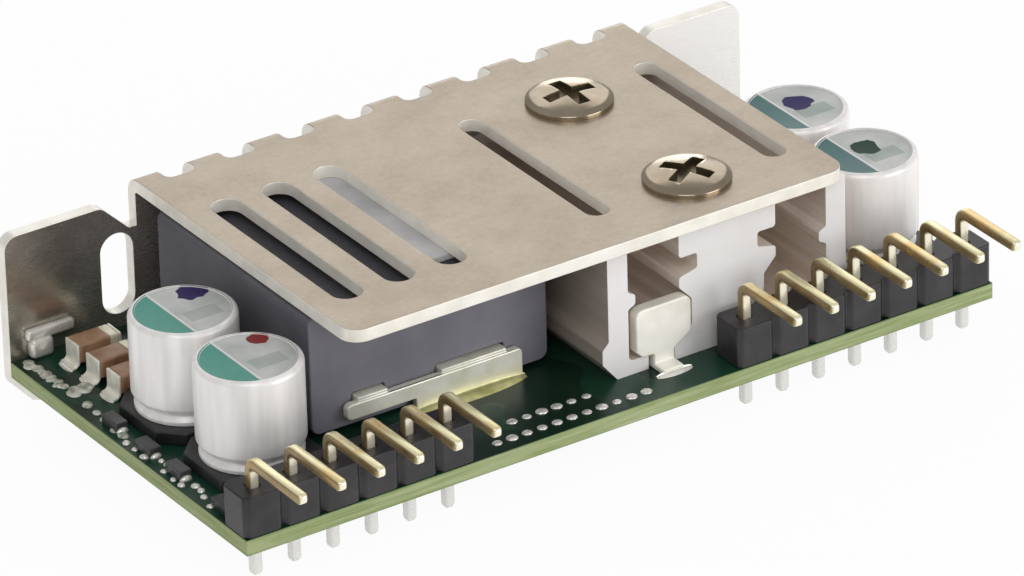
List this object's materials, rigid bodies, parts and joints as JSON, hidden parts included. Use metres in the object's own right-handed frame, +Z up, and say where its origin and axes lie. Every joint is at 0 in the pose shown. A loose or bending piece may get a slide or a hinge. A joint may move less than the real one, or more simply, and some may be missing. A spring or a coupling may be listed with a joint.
{
  "type": "open-frame dc-dc converter module",
  "caption": "Circuit board carrying a slotted folded heat spreader over an inductor and a finned channel, with can capacitors and right-angle pins.",
  "frame": {"origin": "middle of the board's underside", "axes": "+X along the board's long edge, +Y towards the rear wall and ears, +Z up through the board"},
  "size_m": [0.0508, 0.0304, 0.0128],
  "materials": {
    "board_laminate": "solder-masked glass laminate",
    "header_plastic": "moulded charcoal plastic",
    "pin_gold": "pale gold plating",
    "tinned_sheet": "satin tinned sheet with bright cut edges",
    "extruded_aluminium": "as-extruded, sawn ends",
    "tinned_clip": "stamped and tinned",
    "screw_nickel": "nickel plated",
    "ferrite": "matt slate-grey ferrite",
    "tinned_strap": "tinned flat copper",
    "thermal_rubber": "soft gap filler",
    "can_aluminium": "drawn can, satin",
    "can_base_plastic": "moulded black base",
    "ceramic_brown": "fired ceramic",
    "lead_tin": "tinned lead frame",
    "chip_black": "small moulded chip"
  },
  "bodies": {
    "root": {"circuit_board": "board_laminate", "left_header_housing": "header_plastic", "right_header_housing": "header_plastic", "heat_spreader": "tinned_sheet", "heat_channel": "extruded_aluminium", "hold_down_clip": "tinned_clip", "front_screw": "screw_nickel", "rear_screw": "screw_nickel", "inductor_core": "ferrite", "inductor_winding": "tinned_strap", "thermal_pad": "thermal_rubber", "left_pin_1": "pin_gold", "left_pin_2": "pin_gold", "left_pin_3": "pin_gold", "left_pin_4": "pin_gold", "left_pin_5": "pin_gold", "left_pin_6": "pin_gold", "right_pin_1": "pin_gold", "right_pin_2": "pin_gold", "right_pin_3": "pin_gold", "right_pin_4": "pin_gold", "right_pin_5": "pin_gold", "right_pin_6": "pin_gold", "right_pin_7": "pin_gold", "left_front_capacitor_can": "can_aluminium", "left_front_capacitor_base": "can_base_plastic", "left_rear_capacitor_can": "can_aluminium", "left_rear_capacitor_base": "can_base_plastic", "right_front_capacitor_can": "can_aluminium", "right_front_capacitor_base": "can_base_plastic", "right_rear_capacitor_can": "can_aluminium", "right_rear_capacitor_base": "can_base_plastic", "ceramic_1_body": "ceramic_brown", "ceramic_1_left_lead": "lead_tin", "ceramic_1_right_lead": "lead_tin", "ceramic_2_body": "ceramic_brown", "ceramic_2_left_lead": "lead_tin", "ceramic_2_right_lead": "lead_tin", "ceramic_3_body": "ceramic_brown", "ceramic_3_left_lead": "lead_tin", "ceramic_3_right_lead": "lead_tin", "signal_chip_1": "chip_black", "signal_chip_2": "chip_black", "signal_chip_3": "chip_black", "signal_chip_4": "chip_black"}
  },
  "joints": []
}
